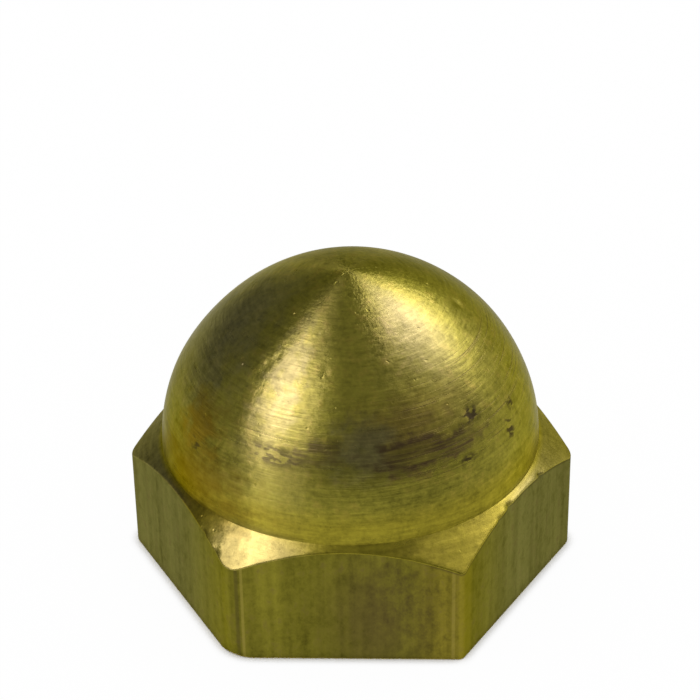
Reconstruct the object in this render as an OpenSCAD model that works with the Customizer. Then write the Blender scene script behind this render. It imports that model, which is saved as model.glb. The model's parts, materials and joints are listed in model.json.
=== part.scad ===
// Domed cap nut, turned from a length of hexagonal brass bar and closed at the top.
// Millimetres. The bearing face lies on z = 0 and the thread axis is the z axis.
// Two of the flats face -y and +y, and two of the corners lie on the x axis.

/* [Hexagon] */
// Width across the flats, the spanner size
across_flats = 17; // [15:0.5:22]
// Radius of the bar's six upright edges
corner_r = 0.8; // [0.2:0.1:1.4]
// Height of the upright edges, from the bearing face to the turned shoulder
corner_h = 4.65; // [3:0.05:8]

/* [Shoulder] */
// Slope of the turned shoulder, from level
shoulder_angle = 39.5; // [15:0.5:50]

/* [Dome] */
// Diameter of the dome where it rises from the shoulder
dome_d = 16.5; // [14:0.1:18]
// Distance from the thread axis to the centre of the arc that turns the dome's side
side_offset = 0.6; // [0.1:0.05:1.5]
// Angle that the side's arc sweeps before the flatter crown takes over
side_sweep = 30; // [15:1:45]
// Distance past the thread axis of the crown arc's centre, which draws the dome to a faint point
crown_offset = 0.4; // [0.1:0.05:1.5]
// Diameter of the flat spot left at the very top, where the tool ran to the centre
tip_d = 0.3; // [0.1:0.05:2]

/* [Thread] */
// Diameter of the tapped wall, the tapping drill of an M10 x 1.5 thread
bore_d = 8.5; // [6.5:0.1:10]
// Depth of the tapped wall from the bearing face
bore_depth = 9.5; // [6:0.1:10.5]
// Included angle of the drill's point
drill_point = 118; // [90:1:140]
// Width of the countersink round the mouth, on each side of the bore
mouth_margin = 0.95; // [0.2:0.05:1.4]
// Included angle of the countersink
mouth_angle = 120; // [60:5:130]

/* [Hidden] */

$fn = 96;
cut_clearance = 1;
corner_steps = 8;

flat_reach = across_flats / 2;
corner_centre = (flat_reach - corner_r) / cos(30);
corner_reach = corner_centre + corner_r;

dome_r = dome_d / 2;
dome_foot = shoulder_height(dome_r);
side_r = dome_r - side_offset;
crown_r = side_r + (side_offset + crown_offset) / cos(side_sweep);
crown_centre_z = dome_foot - (crown_r - side_r) * sin(side_sweep);
join_z = dome_foot + side_r * sin(side_sweep);
height = crown_centre_z + sqrt(pow(crown_r, 2) - pow(crown_offset + tip_d / 2, 2));

bore_r = bore_d / 2;
mouth_r = bore_r + mouth_margin;
mouth_depth = mouth_margin / tan(mouth_angle / 2);
point_depth = bore_r / tan(drill_point / 2);

// Height of the turned shoulder at a distance from the thread axis
function shoulder_height(r) = corner_h + (corner_reach - r) * tan(shoulder_angle);

// One rounded corner of the bar, as the points of an arc about its own centre
function corner_points(turn) = [
    for (i = [0 : corner_steps])
        let (a = turn - 30 + 60 * i / corner_steps)
            [corner_centre * cos(turn) + corner_r * cos(a), corner_centre * sin(turn) + corner_r * sin(a)]
];

// Hexagonal bar, as drawn
module bar() {
    linear_extrude(height + cut_clearance)
        polygon([for (corner = [0 : 5]) each corner_points(60 * corner)]);
}

// Half of the blank's outline up to the foot of the dome, shoulder included
module shoulder_profile() {
    rim = corner_reach + cut_clearance;
    polygon([
        [0, 0],
        [rim, 0],
        [rim, shoulder_height(rim)],
        [dome_r, dome_foot],
        [0, dome_foot]
    ]);
}

// The part of an arc's disc that lies between two heights, on the outer side of the axis
module arc_band(centre, radius, low, high) {
    intersection() {
        translate(centre) circle(radius);
        translate([0, low]) square([dome_d, high - low]);
    }
}

// Shape that the turning tools leave: a cone for the shoulder and two arcs for the dome
module turned_blank() {
    rotate_extrude()
        union() {
            shoulder_profile();
            arc_band([side_offset, dome_foot], side_r, dome_foot, join_z);
            arc_band([-crown_offset, crown_centre_z], crown_r, join_z, height);
        }
}

// Countersink, tapped wall and drill point, as one cutter
module bore() {
    rotate_extrude()
        polygon([
            [0, -cut_clearance],
            [mouth_r + cut_clearance * tan(mouth_angle / 2), -cut_clearance],
            [bore_r, mouth_depth],
            [bore_r, bore_depth],
            [0, bore_depth + point_depth]
        ]);
}

module cap_nut() {
    color("darkkhaki")
        difference() {
            intersection() {
                bar();
                turned_blank();
            }
            bore();
        }
}

cap_nut();
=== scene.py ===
"""Turned brass cap nut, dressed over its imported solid.

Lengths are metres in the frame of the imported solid: z = 0 is the bearing face and the z axis is the
thread axis. Directions round the nut are angles from the x axis.
"""

import json
from math import acos, atan2, cos, degrees, pi, radians, sin, tan

import bmesh
import bpy
import numpy as np
from bpy.props import FloatProperty, FloatVectorProperty, IntProperty, PointerProperty
from bpy.types import Operator, Panel, PropertyGroup
from mathutils import Matrix, Vector


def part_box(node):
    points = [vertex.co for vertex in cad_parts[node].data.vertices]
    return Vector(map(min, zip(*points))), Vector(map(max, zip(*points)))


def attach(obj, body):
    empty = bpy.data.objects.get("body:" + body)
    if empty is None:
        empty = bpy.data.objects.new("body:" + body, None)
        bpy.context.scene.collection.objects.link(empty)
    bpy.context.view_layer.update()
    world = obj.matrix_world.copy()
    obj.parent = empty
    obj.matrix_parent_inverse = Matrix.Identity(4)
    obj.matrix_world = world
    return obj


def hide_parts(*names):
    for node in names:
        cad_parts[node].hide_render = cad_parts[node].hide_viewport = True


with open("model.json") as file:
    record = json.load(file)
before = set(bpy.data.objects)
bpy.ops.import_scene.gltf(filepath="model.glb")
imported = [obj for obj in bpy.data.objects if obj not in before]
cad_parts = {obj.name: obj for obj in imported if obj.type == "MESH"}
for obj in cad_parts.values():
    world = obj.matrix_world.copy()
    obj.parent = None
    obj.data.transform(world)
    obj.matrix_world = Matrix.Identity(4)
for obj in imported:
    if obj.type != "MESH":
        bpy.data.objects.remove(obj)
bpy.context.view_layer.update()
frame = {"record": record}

bl_info = {
    "name": "Cap nut",
    "version": (1, 0, 0),
    "blender": (4, 5, 0),
    "location": "View3D > Sidebar > Cap nut",
    "description": "Builds a turned brass cap nut over its packed solid, and the studio it is seen in",
    "category": "Object",
}

NODE = "cap_nut"
BODY = "root"
SIDES = 6

NODE_LOW, NODE_HIGH = (Vector(corner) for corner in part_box(NODE))
THREAD_MOUNT = next(m for m in frame["record"]["mounts"] if m["name"] == "thread")

MM = 1000.0
NEAR_AXIS = 0.02

# How finely the hidden faces are divided, the welding distance, and the sharpest smooth edge
SEAT_STEPS = 6
CONE_STEPS = 6
WELD = 5e-7
SHARP = radians(28)

# How round each corner is beside the solid's own corners, counted from the one on the x axis
CORNER_SHARE = (1.0, 0.6, 0.6, 1.0, 1.3, 0.4)

# How far the crown leans towards +x, and the heights between which the lean grows
CROWN_LEAN = 0.000085
LEAN_FROM = 0.0085
LEAN_TO = 0.0115

# Height on the axis that knocks are pressed in towards, then each knock's place, radius and depth
DENT_DEPTH_FROM = 0.003
DENTS = (
    ((0.00685, -0.00513, 0.00558), 0.00026, 0.00010),
    ((0.00825, -0.00271, 0.00548), 0.00026, 0.00011),
    ((0.00640, -0.00590, 0.00545), 0.00018, 0.00005),
    ((-0.00545, -0.00760, 0.00495), 0.00024, 0.00005),
    ((-0.00596, -0.00667, 0.00526), 0.00018, 0.00005),
    ((0.00290, -0.00850, 0.00524), 0.00018, 0.00005),
    ((-0.00486, -0.00842, 0.0), 0.00090, 0.00011),
    ((-0.00322, -0.00412, 0.01203), 0.00032, 0.000012),
    ((-0.00279, -0.00399, 0.01232), 0.00026, 0.000010),
    ((-0.00239, -0.00695, 0.00945), 0.00030, 0.000020),
    ((-0.00336, -0.00660, 0.00933), 0.00030, 0.00002),
    ((-0.00207, -0.00124, 0.01360), 0.00035, 0.00002),
    ((0.00461, -0.00016, 0.01250), 0.00038, 0.00003),
    ((0.00510, -0.00475, 0.01008), 0.00040, 0.00004),
    ((0.00683, -0.00363, 0.00859), 0.00036, 0.00004),
    ((-0.00078, -0.00493, 0.01222), 0.00028, 0.000012),
)

# Marks on the turned brass, and patches of painted highlight and painted shade: middle and half size as
# direction from the front and rise from the foot of the dome, both in degrees, then softness and strength
TARNISH = (
    ((21, 28), (15, 6), 0.5, 1.0),
    ((38, 27), (9, 4), 0.5, 0.9),
    ((22, 36), (16, 6), 0.5, 0.35),
    ((-7, 30), (7, 5), 0.5, 0.7),
)
# Bluish grey film that also darkens the dome where it shows a dark reflection: partly real film, partly a
# painted dark reflection
SMOKE_AND_DARK_REFLECTION = (
    ((7, 31), (9, 8), 0.8, 0.6),
    ((-84, 52), (26, 22), 0.9, 0.9),
    ((-64, 42), (9, 12), 0.9, 0.6),
)
STAIN = (
    ((-55, 25), (9, 9), 0.8, 1.0),
    ((-52, 9), (19, 9), 0.9, 0.75),
)
# Paler, bluer brass painted on the shoulder where the lamps' highlights fall: a painted highlight
SHOULDER_HIGHLIGHT_PATCHES = (
    ((-26, -4), (15, 5), 0.5, 1.0),
    ((62, -5), (10, 6), 0.5, 1.0),
)
PITTED = (
    ((47, 33), (4, 2.5), 0.5, 1.0),
    ((62, 21), (2.2, 3.5), 0.5, 1.0),
    ((67, 27), (1.8, 2.2), 0.5, 1.0),
    ((41, 20), (3, 2), 0.5, 1.0),
    ((-24, 27), (11, 3), 0.5, 0.7),
    ((-53, 20), (3, 3), 0.5, 0.8),
)
# Patches painted lighter, as highlights, on the dome and shoulder
PAINTED_LIGHT = (
    ((-22, 46), (5, 16), 0.8, 0.16),
    ((-19, 33), (5, 7), 0.8, 0.16),
    ((-25, 14), (4.5, 12), 0.8, 0.35),
    ((-49, 42), (5, 9), 0.8, 0.22),
    ((-100, 76), (24, 7), 0.8, 0.22),
    ((55, 70), (9, 9), 0.8, 0.15),
    ((-24, 68), (5, 6), 0.8, 0.18),
    ((-25, -4), (2.6, 8), 0.8, 0.20),
    ((30, -4), (8, 5), 0.8, 0.12),
    ((57, -5), (5, 6), 0.8, 0.35),
    ((66, -5), (7, 6), 0.8, 0.35),
)
# Patches painted darker, as shade, on the dome
PAINTED_SHADE = (
    ((-42, 50), (6, 12), 0.8, 0.22),
    ((-37, 36), (5, 7), 0.8, 0.22),
    ((-42, 18), (12, 6), 0.8, 0.26),
    ((-73, 44), (5, 9), 0.8, 0.16),
    ((25, 60), (8, 16), 0.8, 0.25),
    ((37, 57), (4, 8), 0.8, 0.14),
    ((28, 11), (28, 6), 0.8, 0.20),
    ((60, 28), (10, 8), 0.8, 0.12),
    ((45, 46), (6, 5), 0.8, 0.12),
)

# Upright stripes on the front flat beside its corners, a dark line and two lines painted light as
# highlights: place across, half width in millimetres, strength and colour
STRIPES = (
    (-4.55, 0.08, 0.40, "pit_and_shadow_colour"),
    (-4.33, 0.06, 0.30, "tapped_and_highlight_colour"),
    (4.50, 0.07, 0.25, "tapped_and_highlight_colour"),
)
STRIPE_MIDDLE = 2.2
STRIPE_LENGTH = 30

EDGE_TINT = (0.62, 0.60, 0.42, 1.0)
WHITE = (1.0, 1.0, 1.0, 1.0)
TABLE_WHITE = (0.95, 0.95, 0.95, 1.0)

FLOOR_SIZE = 4.0
FLOOR_DROP = -0.00002
CONTACT_REACH = 0.0005
CONTACT_SAMPLES = 8
CARD_DISTANCE = 0.5
CARD_STEP = 5
LAMP_DISTANCE = 0.3
LAMP_TINT = (1.0, 0.89, 2.0)

# Cards that the brass mirrors: directions and heights in degrees, and the shade they show
CARDS = (
    ("card_left", (95, 175), (0, 65), 0.23),
    ("card_window_foot", (175, 255), (0, 30), 0.27),
    ("card_window", (175, 255), (30, 65), 0.95),
    ("card_front_low", (255, 330), (0, 30), 0.14),
    ("card_front", (255, 320), (30, 65), 0.40),
    ("card_right_low", (330, 372), (0, 30), 0.16),
    ("card_right", (320, 372), (30, 65), 0.66),
    ("card_strip_foot", (12, 75), (0, 25), 0.58),
    ("card_strip", (12, 75), (25, 65), 1.80),
    ("card_back", (75, 95), (0, 65), 0.50),
    ("card_top", (0, 360), (65, 90), 0.38),
)

# Lamps: the two ends of the long side as direction and height in degrees, width in degrees, radiance
LAMPS = (
    ("lamp_window_left", (206.3, 26.4), (182.5, 64.1), 14.5, 3.6),
    ("lamp_window_middle", (217.6, 20.4), (212.2, 55.0), 9.5, 3.4),
    ("lamp_window_right", (228.6, 35.0), (223.6, 61.4), 17.5, 3.2),
    ("lamp_window_foot", (245.7, 0.0), (214.1, 2.4), 8.3, 2.7),
    ("lamp_strip", (35.2, 59.1), (64.8, 35.3), 19.4, 3.5),
    ("lamp_strip_high", (-4.0, 68.5), (54.0, 69.5), 8.0, 2.2),
    ("lamp_strip_top", (36.3, 63.8), (74.3, 60.6), 11.1, 2.4),
    ("lamp_strip_start", (19.2, 70.0), (-3.0, 35.1), 9.0, 1.2),
    ("lamp_strip_foot", (7.1, 35.5), (48.2, 37.0), 16.6, 1.9),
    ("lamp_small", (134, 69), (172, 69), 12, 1.15),
)


class NutSizes(PropertyGroup):
    """Form of the nut, as the turning tools leave it."""

    across_flats: FloatProperty(
        name="Across flats",
        description="Width between two opposite flats",
        default=NODE_HIGH.y - NODE_LOW.y,
        unit="LENGTH",
    )
    across_corners: FloatProperty(
        name="Across corners",
        description="Width between two opposite rounded corners",
        default=NODE_HIGH.x - NODE_LOW.x,
        unit="LENGTH",
    )
    corner_height: FloatProperty(
        name="Corner height",
        description="Height of the upright edges, up to the turned shoulder",
        default=0.00465,
        unit="LENGTH",
    )
    shoulder_slope: FloatProperty(
        name="Shoulder slope",
        description="Slope of the shoulder from level",
        default=radians(39.5),
        subtype="ANGLE",
    )
    dome_diameter: FloatProperty(
        name="Dome diameter",
        description="Diameter of the dome where it rises from the shoulder",
        default=0.0165,
        unit="LENGTH",
    )
    side_offset: FloatProperty(
        name="Side offset",
        description="From the thread axis to the centre of the arc of the dome's side",
        default=0.0006,
        unit="LENGTH",
    )
    side_sweep: FloatProperty(
        name="Side sweep",
        description="Angle that the side's arc covers before the flatter crown",
        default=radians(30),
        subtype="ANGLE",
    )
    crown_offset: FloatProperty(
        name="Crown offset",
        description="How far past the thread axis the crown's arc is centred",
        default=0.0004,
        unit="LENGTH",
    )
    tip_diameter: FloatProperty(
        name="Tip diameter",
        description="Flat spot where the turning tool ran to the centre",
        default=0.0003,
        unit="LENGTH",
    )
    edge_wear: FloatProperty(
        name="Edge wear",
        description="How far handling has rounded the edges between shoulder, flats and bearing face",
        default=0.00005,
        unit="LENGTH",
    )


class NutThread(PropertyGroup):
    """Tapped hole in the bearing face."""

    bore_radius: FloatProperty(
        name="Bore radius",
        description="Radius at the crests of the thread",
        default=THREAD_MOUNT["dims"]["r_mm"] / 1000,
        unit="LENGTH",
    )
    bore_depth: FloatProperty(
        name="Bore depth",
        description="Depth of the tapped wall from the bearing face",
        default=0.0095,
        unit="LENGTH",
    )
    major_diameter: FloatProperty(
        name="Major diameter",
        description="Diameter at the roots of the thread",
        default=0.010,
        unit="LENGTH",
    )
    pitch: FloatProperty(
        name="Pitch",
        description="Height of one turn of the thread",
        default=0.0015,
        unit="LENGTH",
    )
    mouth_radius: FloatProperty(
        name="Mouth radius",
        description="Radius of the countersink in the bearing face",
        default=0.0052,
        unit="LENGTH",
    )
    mouth_angle: FloatProperty(
        name="Mouth angle",
        description="Included angle of the countersink",
        default=radians(120),
        subtype="ANGLE",
    )
    drill_point: FloatProperty(
        name="Drill point",
        description="Included angle of the drill's point",
        default=radians(118),
        subtype="ANGLE",
    )


class NutMesh(PropertyGroup):
    """How finely the nut is divided."""

    flat_steps: IntProperty(name="Flat steps", description="Columns across one flat", default=52)
    corner_steps: IntProperty(name="Corner steps", description="Columns round one corner", default=8)
    dome_steps: IntProperty(
        name="Dome steps", description="Rows from the top to the foot of the dome", default=116
    )
    shoulder_steps: IntProperty(name="Shoulder steps", description="Rows down the shoulder", default=8)
    flat_rows: IntProperty(name="Flat rows", description="Rows down the flats", default=18)
    edge_steps: IntProperty(name="Edge steps", description="Rows round a worn edge", default=3)


class NutFinish(PropertyGroup):
    """Colours of the brass, of what has settled on it, and of highlights and shade painted on it."""

    turned_colour: FloatVectorProperty(
        name="Turned brass",
        description="Brass cut by the turning tool",
        subtype="COLOR",
        size=3,
        default=(0.262, 0.234, 0.030),
    )
    drawn_colour: FloatVectorProperty(
        name="Drawn brass",
        description="Skin of the bar as it came from the die",
        subtype="COLOR",
        size=3,
        default=(0.157, 0.140, 0.015),
    )
    warm_colour: FloatVectorProperty(
        name="Warm brass",
        description="Turned brass where a thin brown film has begun",
        subtype="COLOR",
        size=3,
        default=(0.270, 0.205, 0.034),
    )
    # Also used for the painted highlight along the right front corner
    foot_colour: FloatVectorProperty(
        name="Foot of the dome",
        description="Golden band low on the dome, which fingers miss",
        subtype="COLOR",
        size=3,
        default=(0.290, 0.240, 0.020),
    )
    rubbed_colour: FloatVectorProperty(
        name="Rubbed brass",
        description="Drawn brass that has been rubbed golden beside an edge",
        subtype="COLOR",
        size=3,
        default=(0.210, 0.165, 0.018),
    )
    dulled_colour: FloatVectorProperty(
        name="Dulled brass",
        description="Drawn brass gone grey",
        subtype="COLOR",
        size=3,
        default=(0.150, 0.148, 0.060),
    )
    # Colour of the painted highlights on the shoulder
    shoulder_highlight_colour: FloatVectorProperty(
        name="Bare brass",
        description="Clean cut shoulder beside the blunt corner",
        subtype="COLOR",
        size=3,
        default=(0.275, 0.236, 0.078),
    )
    # Colour of the bluish film, also painted where the dome and shoulder show a dark reflection
    smoke_and_reflection_colour: FloatVectorProperty(
        name="Smoke",
        description="Bluish grey film on the dome",
        subtype="COLOR",
        size=3,
        default=(0.185, 0.168, 0.082),
    )
    # Colour of the painted highlights on the dome's bright fans
    fan_highlight_colour: FloatVectorProperty(
        name="Polished brass",
        description="Pale brass where the dome has been rubbed bright",
        subtype="COLOR",
        size=3,
        default=(0.262, 0.222, 0.066),
    )
    # Also used for the lines painted light, as highlights, beside the front flat's corners
    tapped_and_highlight_colour: FloatVectorProperty(
        name="Tapped brass",
        description="Freshly cut thread",
        subtype="COLOR",
        size=3,
        default=(0.40, 0.32, 0.07),
    )
    tarnish_colour: FloatVectorProperty(
        name="Tarnish",
        description="Brown film where fingers have been",
        subtype="COLOR",
        size=3,
        default=(0.095, 0.062, 0.026),
    )
    stain_colour: FloatVectorProperty(
        name="Stain",
        description="Warm orange stain",
        subtype="COLOR",
        size=3,
        default=(0.235, 0.140, 0.010),
    )
    # Also used for the painted shadow under the flats' top edge
    pit_and_shadow_colour: FloatVectorProperty(
        name="Pits",
        description="Dirt in pits and knocks",
        subtype="COLOR",
        size=3,
        default=(0.050, 0.036, 0.016),
    )


class NutStudio(PropertyGroup):
    """Camera, lamps and surroundings."""

    lens: FloatProperty(name="Lens", description="Focal length in millimetres", default=129.69)
    camera_side: FloatProperty(
        name="Camera side",
        description="How far the camera stands to the right of the front flat",
        default=radians(2.174),
        subtype="ANGLE",
    )
    camera_rise: FloatProperty(
        name="Camera rise",
        description="How steeply the camera looks down",
        default=radians(32.90),
        subtype="ANGLE",
    )
    camera_roll: FloatProperty(
        name="Camera roll",
        description="Tilt of the picture",
        default=radians(-0.953),
        subtype="ANGLE",
    )
    camera_distance: FloatProperty(
        name="Camera distance",
        description="From the camera to the point it aims at",
        default=0.10838,
        unit="LENGTH",
    )
    aim_height: FloatProperty(
        name="Aim height",
        description="Height of the point that the camera aims at",
        default=0.01007,
        unit="LENGTH",
    )
    aim_across: FloatProperty(
        name="Aim across",
        description="How far that point lies to the right of the thread axis",
        default=0.0000386,
        unit="LENGTH",
    )
    daylight: FloatProperty(
        name="Daylight", description="Light from all round that falls on the scene", default=1.0
    )
    floor_glow: FloatProperty(
        name="Floor glow",
        description="Share of the floor's white that no shadow dims",
        default=0.97,
        subtype="FACTOR",
    )


class Field:
    """One shader socket whose sums and products can be written as arithmetic."""

    def __init__(self, nodes, socket):
        self.nodes = nodes
        self.socket = socket

    def _math(self, operation, *values, clamp=False):
        settings = {"operation": operation, "use_clamp": clamp}
        return self.nodes.field("ShaderNodeMath", settings, dict(enumerate(values)))

    def __add__(self, other):
        return self._math("ADD", self, other)

    def __sub__(self, other):
        return self._math("SUBTRACT", self, other)

    def __rsub__(self, other):
        return self._math("SUBTRACT", other, self)

    def __mul__(self, other):
        return self._math("MULTIPLY", self, other)

    def __truediv__(self, other):
        return self._math("DIVIDE", self, other)

    def __rtruediv__(self, other):
        return self._math("DIVIDE", other, self)

    def __neg__(self):
        return self._math("MULTIPLY", self, -1)

    __radd__ = __add__
    __rmul__ = __mul__

    def root(self):
        return self._math("SQRT", self)

    def angle_over(self, other):
        """Angle whose tangent is this over other."""
        return self._math("ARCTAN2", self, other)

    def at_least(self, other):
        return self._math("MAXIMUM", self, other)

    def ramp(self, low, high):
        """0 at low and 1 at high, smooth between. Low may be the larger of the two."""
        settings = {"interpolation_type": "SMOOTHSTEP"}
        inputs = {"Value": self, "From Min": low, "From Max": high}
        return self.nodes.field("ShaderNodeMapRange", settings, inputs)


class Nodes:
    """Builder for the node tree of a material or of the world."""

    def __init__(self, owner):
        owner.use_nodes = True
        self.owner = owner
        self.tree = owner.node_tree

    def node(self, kind, settings=None, inputs=None):
        """A node with its settings, which come first, and its inputs, which are values or links."""
        made = self.tree.nodes.new(kind)
        for key, value in (settings or {}).items():
            setattr(made, key, value)
        self.join(made, inputs or {})
        return made

    def field(self, kind, settings=None, inputs=None, output=0):
        return Field(self, self.node(kind, settings, inputs).outputs[output])

    def join(self, node, inputs):
        for key, value in inputs.items():
            if isinstance(value, Field):
                self.tree.links.new(value.socket, node.inputs[key])
            else:
                node.inputs[key].default_value = value

    def place(self):
        """Position in the frame of the nut, in millimetres, as three fields."""
        point = self.field("ShaderNodeTexCoord", output="Object")
        scaled = self.shaded(point, MM)
        parts = self.node("ShaderNodeSeparateXYZ", None, {0: scaled})
        return [Field(self, socket) for socket in parts.outputs]

    def grain(self, place, scales, shift=0, detail=2, roughness=0.5):
        """Soft noise between 0 and 1 over three fields, with about a scale's number of features a unit."""
        x, y, z = (field * scale for field, scale in zip(place, scales))
        vector = self.field("ShaderNodeCombineXYZ", None, {0: x, 1: y, 2: z + shift})
        inputs = {"Vector": vector, "Scale": 1.0, "Detail": detail, "Roughness": roughness}
        return self.field("ShaderNodeTexNoise", {"noise_dimensions": "3D"}, inputs)

    def blend(self, amount, first, second):
        """Two colours mixed, the second by amount."""
        settings = {"data_type": "RGBA", "blend_type": "MIX"}
        inputs = {"Factor": amount, 6: painted(first), 7: painted(second)}
        return self.field("ShaderNodeMix", settings, inputs, output=2)

    def shaded(self, tint, amount):
        """A colour made lighter or darker by a field."""
        settings = {"operation": "SCALE"}
        vector = tint if isinstance(tint, Field) else tuple(tint)
        return self.field("ShaderNodeVectorMath", settings, {0: vector, "Scale": amount})

    def bump(self, height, distance, below=None):
        """Relief whose full height is distance, in metres, laid over the relief below."""
        inputs = {"Height": height, "Distance": distance, "Strength": 1.0}
        if below is not None:
            inputs["Normal"] = below
        return self.field("ShaderNodeBump", None, inputs)


def painted(value):
    """A plain colour with its alpha, or a field as it is."""
    return value if isinstance(value, Field) else (*value, 1.0)


def brass(name, settings):
    """A metal material, as its nodes and its shader, with the shader's own settings."""
    nodes = Nodes(bpy.data.materials.new(name))
    shader = nodes.tree.nodes["Principled BSDF"]
    nodes.join(shader, {"Metallic": 1.0, "Specular Tint": EDGE_TINT, **settings})
    return nodes, shader


def oval(across, along, centre, half, soft=0.5):
    """1 inside an oval of two fields, 0 outside it, with a soft edge."""
    u = (across - centre[0]) / half[0]
    v = (along - centre[1]) / half[1]
    return (u * u + v * v).root().ramp(1 + soft, 1 - soft)


def strongest(fields):
    """The largest of several fields at each place."""
    top = fields[0]
    for other in fields[1:]:
        top = top.at_least(other)
    return top


def marks(side, rise, table):
    """How strongly the marks of a table show at each place."""
    return strongest([
        oval(side, rise, middle, half, soft) * strength
        for middle, half, soft, strength in table
    ])


def turned_finish(looks, sizes):
    """Brass off the lathe: rings of scratches round the axis, then handling, stains and knocks, and
    highlights and shade painted into its colour.
    """
    nodes, shader = brass("turned_brass", {"Anisotropic": 0.9, "Anisotropic Rotation": 0.25})
    x, y, z = place = nodes.place()
    foot_radius = sizes.dome_diameter / 2
    foot = shoulder_level(sizes, foot_radius) * MM
    spread = (x * x + y * y).root().at_least(NEAR_AXIS)
    side = x.angle_over(-y) * degrees(1)
    climb = (z - foot).angle_over(spread - sizes.side_offset * MM)
    rise = climb * degrees(1)
    rings = (x / spread, y / spread, climb * ((foot_radius - sizes.side_offset) * MM))

    fine = nodes.grain(rings, (5, 5, 7))
    coarse = nodes.grain(rings, (2, 2, 2.2), 40, detail=3)
    dashes = nodes.grain(rings, (24, 24, 6), 90, detail=1)
    scores = nodes.grain(rings, (1.3, 1.3, 19), 60, detail=3)
    streaks = nodes.grain(rings, (3, 3, 6), 11, detail=3)
    specks = nodes.grain(rings, (16, 16, 4.5), 4)
    blotch = nodes.grain(rings, (9, 9, 1.6), 20, detail=3)
    peel = nodes.grain(place, (0.8, 0.8, 0.8))
    cloud = nodes.grain(place, (0.35, 0.35, 0.35), 7, detail=3)
    mottle = nodes.grain(place, (1.9, 1.9, 1.9), 15, detail=4, roughness=0.65)
    grit = nodes.grain(place, (5.5, 5.5, 5.5), 50, roughness=0.7)
    knocks = nodes.grain(place, (3.2, 3.2, 3.2), 33, detail=1)

    warped_side = side + (blotch - 0.5) * 34
    warped_rise = rise + (mottle - 0.5) * 11
    tarnish = marks(warped_side, warped_rise, TARNISH)
    stain = marks(warped_side, warped_rise, STAIN)
    # Painted highlight tint on the shoulder
    shoulder_highlight = marks(side, rise, SHOULDER_HIGHLIGHT_PATCHES)
    on_shoulder = rise.ramp(0, -1.5)
    # Bluish film, partly a painted dark reflection over the dome's dark side and the shoulder at left and
    # right
    smoke_and_dark_reflection = strongest([
        marks(warped_side, warped_rise, SMOKE_AND_DARK_REFLECTION),
        on_shoulder * side.ramp(-46, -62) * 0.7,
        on_shoulder * side.ramp(50, 66) * 0.25,
    ])
    # Paler brass painted on the dome's bright fans: a painted highlight tint
    fan_highlight = strongest([
        oval(warped_side, warped_rise, (-28, 50), (7, 18), soft=0.9) * 0.65,
        oval(side + (mottle - 0.5) * 20, warped_rise, (44, 67), (14, 15), soft=0.9),
    ])
    warmed = oval(warped_side, warped_rise, (23, 37), (17, 8), soft=0.9)
    shaded_foot = oval(warped_side, warped_rise, (-54, 6), (20, 12), soft=0.9)
    scored = scores.ramp(0.57, 0.66) * rise.ramp(14, 22) * rise.ramp(58, 46)
    scored = scored * (side.ramp(5, 35) * 0.75 + 0.25)
    pits = marks(side, rise, PITTED) * specks.ramp(0.44, 0.57) * 0.9

    level = -0.50 + fine * 0.65 + coarse * 0.2 + cloud * 0.25 + mottle * 1.0 + dashes * 0.3 + grit * 0.6
    # Painted shade: the left of the dome's foot is made darker
    level = level - shaded_foot * 0.35
    # Painted highlights and painted shade, from the two tables above
    sway = (mottle - 0.5) * 10
    for middle, half, soft, strength in PAINTED_LIGHT:
        level = level + oval(side + sway, rise + sway, middle, half, soft) * strength
    for middle, half, soft, strength in PAINTED_SHADE:
        level = level - oval(side + sway, rise + sway, middle, half, soft) * strength

    film = strongest([mottle.ramp(0.50, 0.70) * 0.55, warmed * 0.8])
    tint = nodes.blend(film, looks.turned_colour, looks.warm_colour)
    tint = nodes.blend(rise.ramp(15, 5) * 0.8, tint, looks.foot_colour)
    tint = nodes.blend(shoulder_highlight * 0.35, tint, looks.shoulder_highlight_colour)
    tint = nodes.blend(fan_highlight * 0.8, tint, looks.fan_highlight_colour)
    tint = nodes.blend(smoke_and_dark_reflection, tint, looks.smoke_and_reflection_colour)
    tint = nodes.shaded(tint, level)
    tint = nodes.blend(tarnish * (streaks.ramp(0.35, 0.60) * 0.6 + 0.35), tint, looks.tarnish_colour)
    tint = nodes.blend(stain * 0.7, tint, looks.stain_colour)
    tint = nodes.blend(scored * 0.6, tint, looks.tarnish_colour)
    tint = nodes.blend(pits, tint, looks.pit_and_shadow_colour)

    relief = None
    for height, distance in (
        (peel, 0.000008),
        (dashes, 0.000004),
        (coarse, 0.000020),
        (fine, 0.000012),
        (scored, -0.000004),
        (mottle, 0.000010),
        (knocks.ramp(0.72, 0.84), -0.000010),
    ):
        relief = nodes.bump(height, distance, relief)
    nodes.join(shader, {"Base Color": tint, "Roughness": coarse * 0.10 + 0.24, "Normal": relief})
    return nodes.owner


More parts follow.
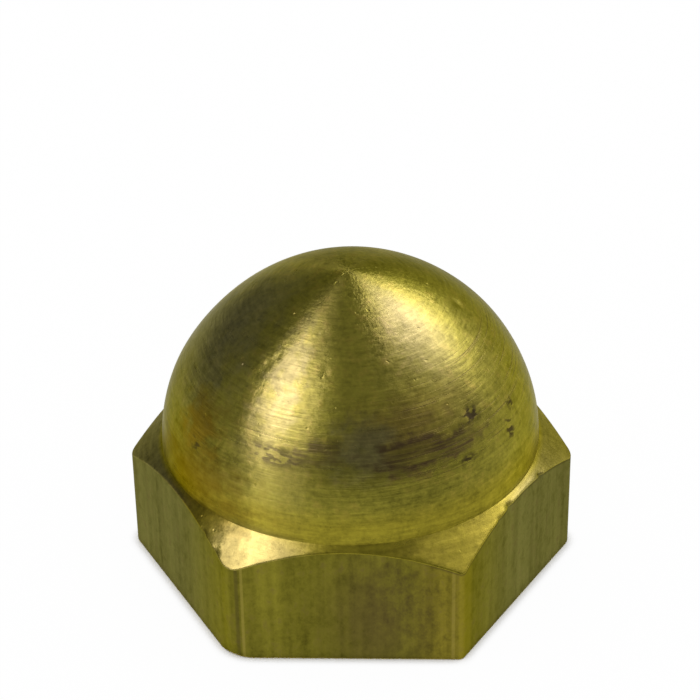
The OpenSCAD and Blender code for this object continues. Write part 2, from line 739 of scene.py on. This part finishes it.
def drawn_finish(looks, sizes):
    """Skin of the drawn bar: upright die lines, dull and mottled, rubbed beside its edges, with a dark line,
    painted highlights and a painted shadow near its edges and painted shade on the front flat.
    """
    nodes, shader = brass("drawn_brass", {"Anisotropic": 0.4})
    x, y, z = place = nodes.place()
    lines = nodes.grain(place, (3.2, 3.2, 0.14), detail=3)
    bands = nodes.grain(place, (0.9, 0.9, 0.08), 30)
    mottle = nodes.grain(place, (2.2, 2.2, 1.7), 60, detail=4, roughness=0.7)
    grit = nodes.grain(place, (5, 5, 5), 50, roughness=0.7)

    front = (-y).ramp(8.30, 8.45)
    spread = (x * x + y * y).root()
    wander = (mottle - 0.5) * 4
    handled = oval(x + wander + (bands - 0.5) * 3, z + wander, (1.3, 2.2), (1.9, 2.6), soft=1.0) * front
    rubbed = x.ramp(2.2, 4.2) * front * 0.6
    dulled = (x * x).root().ramp(4.8, 7.6) * 0.6
    # Painted highlight along the rounded corner at the right of the front flat, in the foot's golden colour
    painted_corner_highlight = spread.ramp(9.40, 9.60) * x.ramp(4.66, 4.80) * (-y).ramp(5, 7) * 0.4
    rim = (sizes.across_corners / 2 * MM - spread) * tan(sizes.shoulder_slope)
    below_rim = rim + sizes.corner_height * MM - z
    # Painted shadow under the top edge of the flats towards the right front corner
    painted_burr_shadow = below_rim.ramp(0.20, 0.05) * x.ramp(2.4, 4.4) * 0.6

    # The front flat is painted slightly darker all over, as shade
    level = -0.62 + lines * 0.7 + bands * 0.7 + mottle * 1.5 + grit * 0.4 - handled * 0.12 - front * 0.07
    # Two patches painted lighter, as highlights: beside the blunt corner and high on the front flat
    level = level + oval(x, z, (-5.7, 2.4), (0.9, 4)) * 0.15
    level = level + oval(x, z, (-2.9, 3.6), (1.3, 1.6)) * 0.14
    tint = nodes.blend(rubbed, looks.drawn_colour, looks.rubbed_colour)
    tint = nodes.blend(dulled, tint, looks.dulled_colour)
    tint = nodes.shaded(tint, level)
    tint = nodes.blend(strongest([handled * 0.5, mottle.ramp(0.50, 0.75) * 0.5]), tint, looks.tarnish_colour)
    # Stripes beside the front flat's corners: a dark line and lines painted light as highlights
    for across, half_width, strength, colour in STRIPES:
        stripe = oval(x, z, (across, STRIPE_MIDDLE), (half_width, STRIPE_LENGTH))
        tint = nodes.blend(stripe * front * strength, tint, getattr(looks, colour))
    tint = nodes.blend(painted_corner_highlight, tint, looks.foot_colour)
    tint = nodes.blend(painted_burr_shadow, tint, looks.pit_and_shadow_colour)

    relief = nodes.bump(mottle, 0.000012)
    relief = nodes.bump(lines, 0.000005, relief)
    nodes.join(shader, {"Base Color": tint, "Roughness": mottle * 0.2 + 0.32, "Normal": relief})
    return nodes.owner


def tapped_finish(looks):
    """Bearing face, countersink and thread, cut last and hardly touched since."""
    nodes, shader = brass("tapped_brass", {"Anisotropic": 0.6, "Anisotropic Rotation": 0.25})
    x, y, z = place = nodes.place()
    spread = (x * x + y * y).root().at_least(NEAR_AXIS)
    rings = nodes.grain((x / spread, y / spread, spread + z), (2, 2, 6))
    cloud = nodes.grain(place, (0.7, 0.7, 0.7), detail=3)
    tint = nodes.shaded(looks.tapped_and_highlight_colour, 0.7 + rings * 0.3 + cloud * 0.3)
    relief = nodes.bump(rings, 0.000005)
    nodes.join(shader, {"Base Color": tint, "Roughness": cloud * 0.15 + 0.25, "Normal": relief})
    return nodes.owner


def shoulder_level(sizes, reach):
    """Height of the turned shoulder at a distance from the thread axis."""
    return sizes.corner_height + (sizes.across_corners / 2 - reach) * tan(sizes.shoulder_slope)


def dome_profile(sizes, steps):
    """Points of the dome's outline, from the flat spot at its top down to its foot."""
    foot_radius = sizes.dome_diameter / 2
    foot = shoulder_level(sizes, foot_radius)
    side_radius = foot_radius - sizes.side_offset
    crown_radius = side_radius + (sizes.side_offset + sizes.crown_offset) / cos(sizes.side_sweep)
    crown_level = foot - (crown_radius - side_radius) * sin(sizes.side_sweep)
    top_angle = acos((sizes.crown_offset + sizes.tip_diameter / 2) / crown_radius)
    points = []
    for step in range(steps + 1):
        angle = top_angle * (1 - step / steps)
        if angle > sizes.side_sweep:
            reach, centre, radius = -sizes.crown_offset, crown_level, crown_radius
        else:
            reach, centre, radius = sizes.side_offset, foot, side_radius
        points.append((radius * cos(angle) + reach, centre + radius * sin(angle)))
    return points


def bar_outline(sizes, mesh):
    """Directions and reaches of the columns round the hexagonal bar, each corner an arc."""
    flat_reach = sizes.across_flats / 2
    point_out = 1 / cos(radians(30))
    solid_radius = (sizes.across_corners / 2 - flat_reach * point_out) / (1 - point_out)
    corners = []
    for corner in range(SIDES):
        turn = 2 * pi * corner / SIDES
        radius = solid_radius * CORNER_SHARE[corner]
        centre = (flat_reach - radius) * point_out
        arc = []
        for step in range(mesh.corner_steps + 1):
            angle = turn + radians(-30 + 60 * step / mesh.corner_steps)
            x = centre * cos(turn) + radius * cos(angle)
            y = centre * sin(turn) + radius * sin(angle)
            arc.append(Vector((x, y)))
        corners.append(arc)
    columns = []
    for corner, arc in enumerate(corners):
        columns.extend(arc)
        after = corners[(corner + 1) % SIDES][0]
        for step in range(1, mesh.flat_steps):
            columns.append(arc[-1].lerp(after, step / mesh.flat_steps))
    directions = np.unwrap([atan2(column.y, column.x) for column in columns])
    reaches = np.array([column.length for column in columns])
    return directions, reaches


def rounded(first, corner, last, steps):
    """Points of a small arc that softens the corner between two points, ends included."""
    points = []
    for step in range(steps + 1):
        t = step / steps
        points.append(first * (1 - t) ** 2 + corner * 2 * t * (1 - t) + last * t ** 2)
    return points


def outer_rows(sizes, thread, mesh, reaches):
    """Radius and height of every column, row by row, from the top of the dome to the mouth of the thread."""
    level = np.ones_like(reaches)
    rows = []
    for radius, height in dome_profile(sizes, mesh.dome_steps):
        rows.append(("turned", radius * level, height * level))
    wear = sizes.edge_wear
    foot_radius = sizes.dome_diameter / 2
    slope = tan(sizes.shoulder_slope)
    for step in range(1, mesh.shoulder_steps):
        radius = foot_radius + (reaches - wear - foot_radius) * step / mesh.shoulder_steps
        rows.append(("turned", radius, shoulder_level(sizes, radius)))
    edge = shoulder_level(sizes, reaches)
    radii = rounded(reaches - wear, reaches, reaches, mesh.edge_steps)
    heights = rounded(edge + wear * slope, edge, edge - wear, mesh.edge_steps)
    rows.extend(("turned", radius, height) for radius, height in zip(radii, heights))
    for step in range(1, mesh.flat_rows + 1):
        share = step / mesh.flat_rows
        rows.append(("drawn", reaches, (edge - wear) * (1 - share) + wear * share))
    radii = rounded(reaches, reaches, reaches - wear, mesh.edge_steps)
    heights = rounded(wear * level, 0 * level, 0 * level, mesh.edge_steps)
    rows.extend(("tapped", radius, height) for radius, height in list(zip(radii, heights))[1:])
    for step in range(1, SEAT_STEPS + 1):
        share = step / SEAT_STEPS
        rows.append(("tapped", (reaches - wear) * (1 - share) + thread.mouth_radius * share, 0 * level))
    return rows


def thread_rows(thread, turns):
    """Radius and height of every column along the tapped hole, from its mouth to the end of the thread.

    The rows climb one pitch a turn, so their first and last columns differ and the rows don't close.
    """
    depth = thread.major_diameter / 2 - thread.bore_radius
    flank = depth * tan(radians(30))
    root = thread.pitch / 8
    crest = thread.pitch - root - 2 * flank
    far_flank = crest + flank + root
    stops = [0, crest / 2, crest, crest + flank / 2, crest + flank, far_flank, far_flank + flank / 2]
    cuts = [0, 0, 0, depth / 2, depth, depth, depth / 2]
    slope = tan(thread.mouth_angle / 2)
    rows = []
    for lap in range(-2, int(thread.bore_depth / thread.pitch) + 2):
        for stop, cut in zip(stops, cuts):
            height = lap * thread.pitch + stop + thread.pitch * turns
            inside = np.clip(height, 0, thread.bore_depth)
            fade = np.clip((thread.bore_depth - inside) / thread.pitch - 0.3, 0, 1)
            radius = np.maximum(thread.bore_radius + cut * fade, thread.mouth_radius - inside * slope)
            rows.append((radius, inside))
    return rows


def worn(points):
    """Points of the skin with the crown leant over, then pressed in wherever the nut has been knocked."""
    share = np.clip((points[:, 2] - LEAN_FROM) / (LEAN_TO - LEAN_FROM), 0, 1)
    points = points + np.outer(share * share * (3 - 2 * share), (CROWN_LEAN, 0, 0))
    middle = np.array((0, 0, DENT_DEPTH_FROM))
    for place, radius, depth in DENTS:
        centre = np.array(place)
        near = np.clip(1 - (np.linalg.norm(points - centre, axis=1) / radius) ** 2, 0, 1) ** 2
        inward = (middle - centre) / np.linalg.norm(middle - centre)
        points = points + near[:, None] * depth * inward
    return points


def ring_of(directions, radius, height):
    """Points of one row round the axis."""
    return np.column_stack((np.cos(directions) * radius, np.sin(directions) * radius, height))


def add_rows(mesh, rows, closed, layers):
    """Skin of quads over rows of points. Each row names the finish of the faces that lead to it."""
    made = [[mesh.verts.new(point) for point in points] for _, points in rows]
    for (before, after), (finish, _) in zip(zip(made, made[1:]), rows[1:]):
        count = len(before)
        for index in range(count if closed else count - 1):
            after_index = (index + 1) % count
            face = mesh.faces.new((before[index], after[index], after[after_index], before[after_index]))
            face.material_index = layers.index(finish)
    return made


def add_cap(mesh, ring, tip, finish, layers, closed):
    """Fan of triangles from a ring to a single point."""
    apex = mesh.verts.new(tip)
    count = len(ring)
    for index in range(count if closed else count - 1):
        face = mesh.faces.new((ring[index], ring[(index + 1) % count], apex))
        face.material_index = layers.index(finish)


class CAPNUT_OT_nut(Operator):
    """Build the nut with its dome, shoulder, flats and tapped hole"""

    bl_idname = "cap_nut.build_nut"
    bl_label = "Nut"

    def execute(self, context):
        scene = context.scene
        sizes, thread, steps, looks = scene.nut_sizes, scene.nut_thread, scene.nut_mesh, scene.nut_finish
        directions, reaches = bar_outline(sizes, steps)
        layers = ["turned", "drawn", "tapped"]

        mesh = bmesh.new()
        rows = []
        for finish, radius, height in outer_rows(sizes, thread, steps, reaches):
            rows.append((finish, worn(ring_of(directions, radius, height))))
        made = add_rows(mesh, rows, True, layers)
        add_cap(mesh, made[0], rows[0][1].mean(axis=0), "turned", layers, True)

        around = np.append(directions, directions[0] + 2 * pi)
        turns = (around - around[0]) / (2 * pi)
        point = thread.bore_radius / tan(thread.drill_point / 2)
        rows = []
        for radius, height in thread_rows(thread, turns):
            rows.append(("tapped", ring_of(around, radius, height)))
        for step in range(1, CONE_STEPS):
            share = step / CONE_STEPS
            radius = np.full_like(around, thread.bore_radius * (1 - share))
            height = np.full_like(around, thread.bore_depth + point * share)
            rows.append(("tapped", ring_of(around, radius, height)))
        made = add_rows(mesh, rows, False, layers)
        add_cap(mesh, made[-1], (0, 0, thread.bore_depth + point), "tapped", layers, False)

        bmesh.ops.remove_doubles(mesh, verts=mesh.verts[:], dist=WELD)
        bmesh.ops.dissolve_degenerate(mesh, dist=WELD, edges=mesh.edges[:])
        bmesh.ops.recalc_face_normals(mesh, faces=mesh.faces[:])
        if any(not edge.is_manifold for edge in mesh.edges):
            raise RuntimeError("the nut's skin has a gap")

        data = bpy.data.meshes.new("cap_nut_brass")
        mesh.to_mesh(data)
        mesh.free()
        data.shade_smooth()
        data.set_sharp_from_angle(angle=SHARP)
        data.use_auto_texspace = False
        data.texspace_location = (0, 0, 0)
        data.texspace_size = (0.01, 0.01, 0.01)
        for material in (turned_finish(looks, sizes), drawn_finish(looks, sizes), tapped_finish(looks)):
            data.materials.append(material)
        nut = bpy.data.objects.new("cap_nut_brass", data)
        scene.collection.objects.link(nut)
        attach(nut, BODY)
        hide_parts(NODE)
        return {"FINISHED"}


def round_place(azimuth, elevation):
    """Direction of a point of the studio as seen from the nut."""
    turn = radians(azimuth)
    lift = radians(elevation)
    return Vector((cos(turn) * cos(lift), sin(turn) * cos(lift), sin(lift)))


def facing(right, up, back, place):
    """Matrix of a camera or a lamp from its own directions and its place."""
    matrix = Matrix((right, up, back)).transposed().to_4x4()
    matrix.translation = place
    return matrix


def seen_directly(nodes):
    """1 for the rays that make the picture and its reflections, 0 for those that carry soft light."""
    path = nodes.node("ShaderNodeLightPath")
    kinds = ("Is Camera Ray", "Is Glossy Ray", "Is Transmission Ray")
    return strongest([Field(nodes, path.outputs[kind]) for kind in kinds])


def floor_finish(studio):
    """White table that keeps a faint shadow, and a darker one where the nut all but touches it."""
    nodes = Nodes(bpy.data.materials.new("studio_floor"))
    nodes.tree.nodes.clear()
    matt = nodes.field("ShaderNodeBsdfDiffuse", None, {"Color": TABLE_WHITE})
    glow = nodes.field("ShaderNodeEmission", None, {"Color": WHITE, "Strength": 1.0})
    settings = {"samples": CONTACT_SAMPLES}
    openness = nodes.field("ShaderNodeAmbientOcclusion", settings, {"Distance": CONTACT_REACH}, output="AO")
    share = seen_directly(nodes) * openness.ramp(0.42, 0.97) * studio.floor_glow
    mixed = nodes.field("ShaderNodeMixShader", None, {0: share, 1: matt, 2: glow})
    nodes.node("ShaderNodeOutputMaterial", None, {"Surface": mixed})
    return nodes.owner


def card_finish(name, shade):
    """Plain card that shows one even shade to what reflects it."""
    nodes = Nodes(bpy.data.materials.new(name))
    nodes.tree.nodes.clear()
    glow = nodes.field("ShaderNodeEmission", None, {"Color": (shade, shade, shade, 1.0), "Strength": 1.0})
    nodes.node("ShaderNodeOutputMaterial", None, {"Surface": glow})
    return nodes.owner


def white_surroundings(world, studio):
    """White all round to the camera and to reflections, and plain daylight on everything else."""
    nodes = Nodes(world)
    nodes.tree.nodes.clear()
    light = nodes.field("ShaderNodeBackground", None, {"Color": WHITE, "Strength": studio.daylight})
    seen = nodes.field("ShaderNodeBackground", None, {"Color": WHITE, "Strength": 1.0})
    mixed = nodes.field("ShaderNodeMixShader", None, {0: seen_directly(nodes), 1: light, 2: seen})
    nodes.node("ShaderNodeOutputWorld", None, {"Surface": mixed})


def stage_piece(scene, name, vertices, faces, material):
    """Part of the studio, which isn't part of the nut."""
    data = bpy.data.meshes.new(name)
    data.from_pydata(vertices, [], faces)
    data.materials.append(material)
    piece = bpy.data.objects.new(name, data)
    scene.collection.objects.link(piece)
    return piece


def hang_card(scene, name, azimuths, elevations, shade):
    """Curved card round the nut, seen only in its reflections."""
    across = max(2, round((azimuths[1] - azimuths[0]) / CARD_STEP) + 1)
    up = max(2, round((elevations[1] - elevations[0]) / CARD_STEP) + 1)
    vertices = []
    for elevation in np.linspace(*elevations, up):
        for azimuth in np.linspace(*azimuths, across):
            vertices.append(round_place(azimuth, elevation) * CARD_DISTANCE)
    faces = []
    for row in range(up - 1):
        for column in range(across - 1):
            corner = row * across + column
            faces.append((corner, corner + across, corner + across + 1, corner + 1))
    card = stage_piece(scene, name, vertices, faces, card_finish(name, shade))
    card.visible_camera = False
    card.visible_diffuse = False
    card.visible_shadow = False
    card.visible_transmission = False


def hang_lamp(scene, name, first, last, width, radiance, tint):
    """Soft lamp whose long side runs between two directions, facing the nut and seen only in its brass."""
    start = round_place(*first)
    end = round_place(*last)
    back = (start + end).normalized()
    along = (end - start).normalized()
    across = along.cross(back)
    length = 2 * LAMP_DISTANCE * tan(start.angle(end) / 2)
    breadth = 2 * LAMP_DISTANCE * tan(radians(width) / 2)
    light = bpy.data.lights.new(name, "AREA")
    light.shape = "RECTANGLE"
    light.size = breadth
    light.size_y = length
    light.energy = radiance * pi * breadth * length
    light.color = tint
    lamp = bpy.data.objects.new(name, light)
    lamp.matrix_world = facing(across, along, back, back * LAMP_DISTANCE)
    lamp.visible_camera = False
    lamp.visible_diffuse = False
    scene.collection.objects.link(lamp)


class CAPNUT_OT_stage(Operator):
    """Build the floor, the lamps, the cards that the brass mirrors, and the camera"""

    bl_idname = "cap_nut.build_stage"
    bl_label = "Stage"

    def execute(self, context):
        scene = context.scene
        studio = scene.nut_studio
        half = FLOOR_SIZE / 2
        corners = [(x * half, y * half, FLOOR_DROP) for x, y in ((-1, -1), (1, -1), (1, 1), (-1, 1))]
        stage_piece(scene, "studio_floor", corners, [(0, 1, 2, 3)], floor_finish(studio))
        for name, azimuths, elevations, shade in CARDS:
            hang_card(scene, name, azimuths, elevations, shade)
        for name, first, last, width, radiance in LAMPS:
            hang_lamp(scene, name, first, last, width, radiance, LAMP_TINT)

        world = bpy.data.worlds.new("studio_surroundings")
        white_surroundings(world, studio)
        scene.world = world
        scene.view_settings.view_transform = "Standard"

        back = round_place(degrees(studio.camera_side) - 90, degrees(studio.camera_rise))
        level = Vector((cos(studio.camera_side), sin(studio.camera_side), 0))
        upright = back.cross(level)
        right = level * cos(studio.camera_roll) + upright * sin(studio.camera_roll)
        up = upright * cos(studio.camera_roll) - level * sin(studio.camera_roll)
        aim = level * studio.aim_across + Vector((0, 0, studio.aim_height))
        lens = bpy.data.cameras.new("studio_camera")
        lens.lens = studio.lens
        lens.sensor_width = 36
        lens.clip_start = 0.01
        lens.clip_end = 10
        camera = bpy.data.objects.new("studio_camera", lens)
        camera.matrix_world = facing(right, up, back, aim + back * studio.camera_distance)
        scene.collection.objects.link(camera)
        scene.camera = camera
        return {"FINISHED"}


class CAPNUT_PT_panel(Panel):
    """Lists the pieces of the cap nut"""

    bl_idname = "CAPNUT_PT_panel"
    bl_label = "Cap nut"
    bl_space_type = "VIEW_3D"
    bl_region_type = "UI"
    bl_category = "Cap nut"

    def draw(self, context):
        for operator in OPERATORS:
            self.layout.operator(operator.bl_idname)
        for name in SETTINGS:
            group = getattr(context.scene, name)
            box = self.layout.box()
            for key in group.bl_rna.properties.keys():
                if key not in ("rna_type", "name"):
                    box.prop(group, key)


OPERATORS = (CAPNUT_OT_nut, CAPNUT_OT_stage)
SETTINGS = {
    "nut_sizes": NutSizes,
    "nut_thread": NutThread,
    "nut_mesh": NutMesh,
    "nut_finish": NutFinish,
    "nut_studio": NutStudio,
}


def register():
    for group in SETTINGS.values():
        bpy.utils.register_class(group)
    for operator in OPERATORS:
        bpy.utils.register_class(operator)
    bpy.utils.register_class(CAPNUT_PT_panel)
    for name, group in SETTINGS.items():
        setattr(bpy.types.Scene, name, PointerProperty(type=group))


def unregister():
    for name in SETTINGS:
        delattr(bpy.types.Scene, name)
    bpy.utils.unregister_class(CAPNUT_PT_panel)
    for operator in reversed(OPERATORS):
        bpy.utils.unregister_class(operator)
    for group in reversed(SETTINGS.values()):
        bpy.utils.unregister_class(group)


def main():
    """Builds everything."""
    register()
    bpy.ops.cap_nut.build_nut()
    bpy.ops.cap_nut.build_stage()


if __name__ == "__main__":
    main()
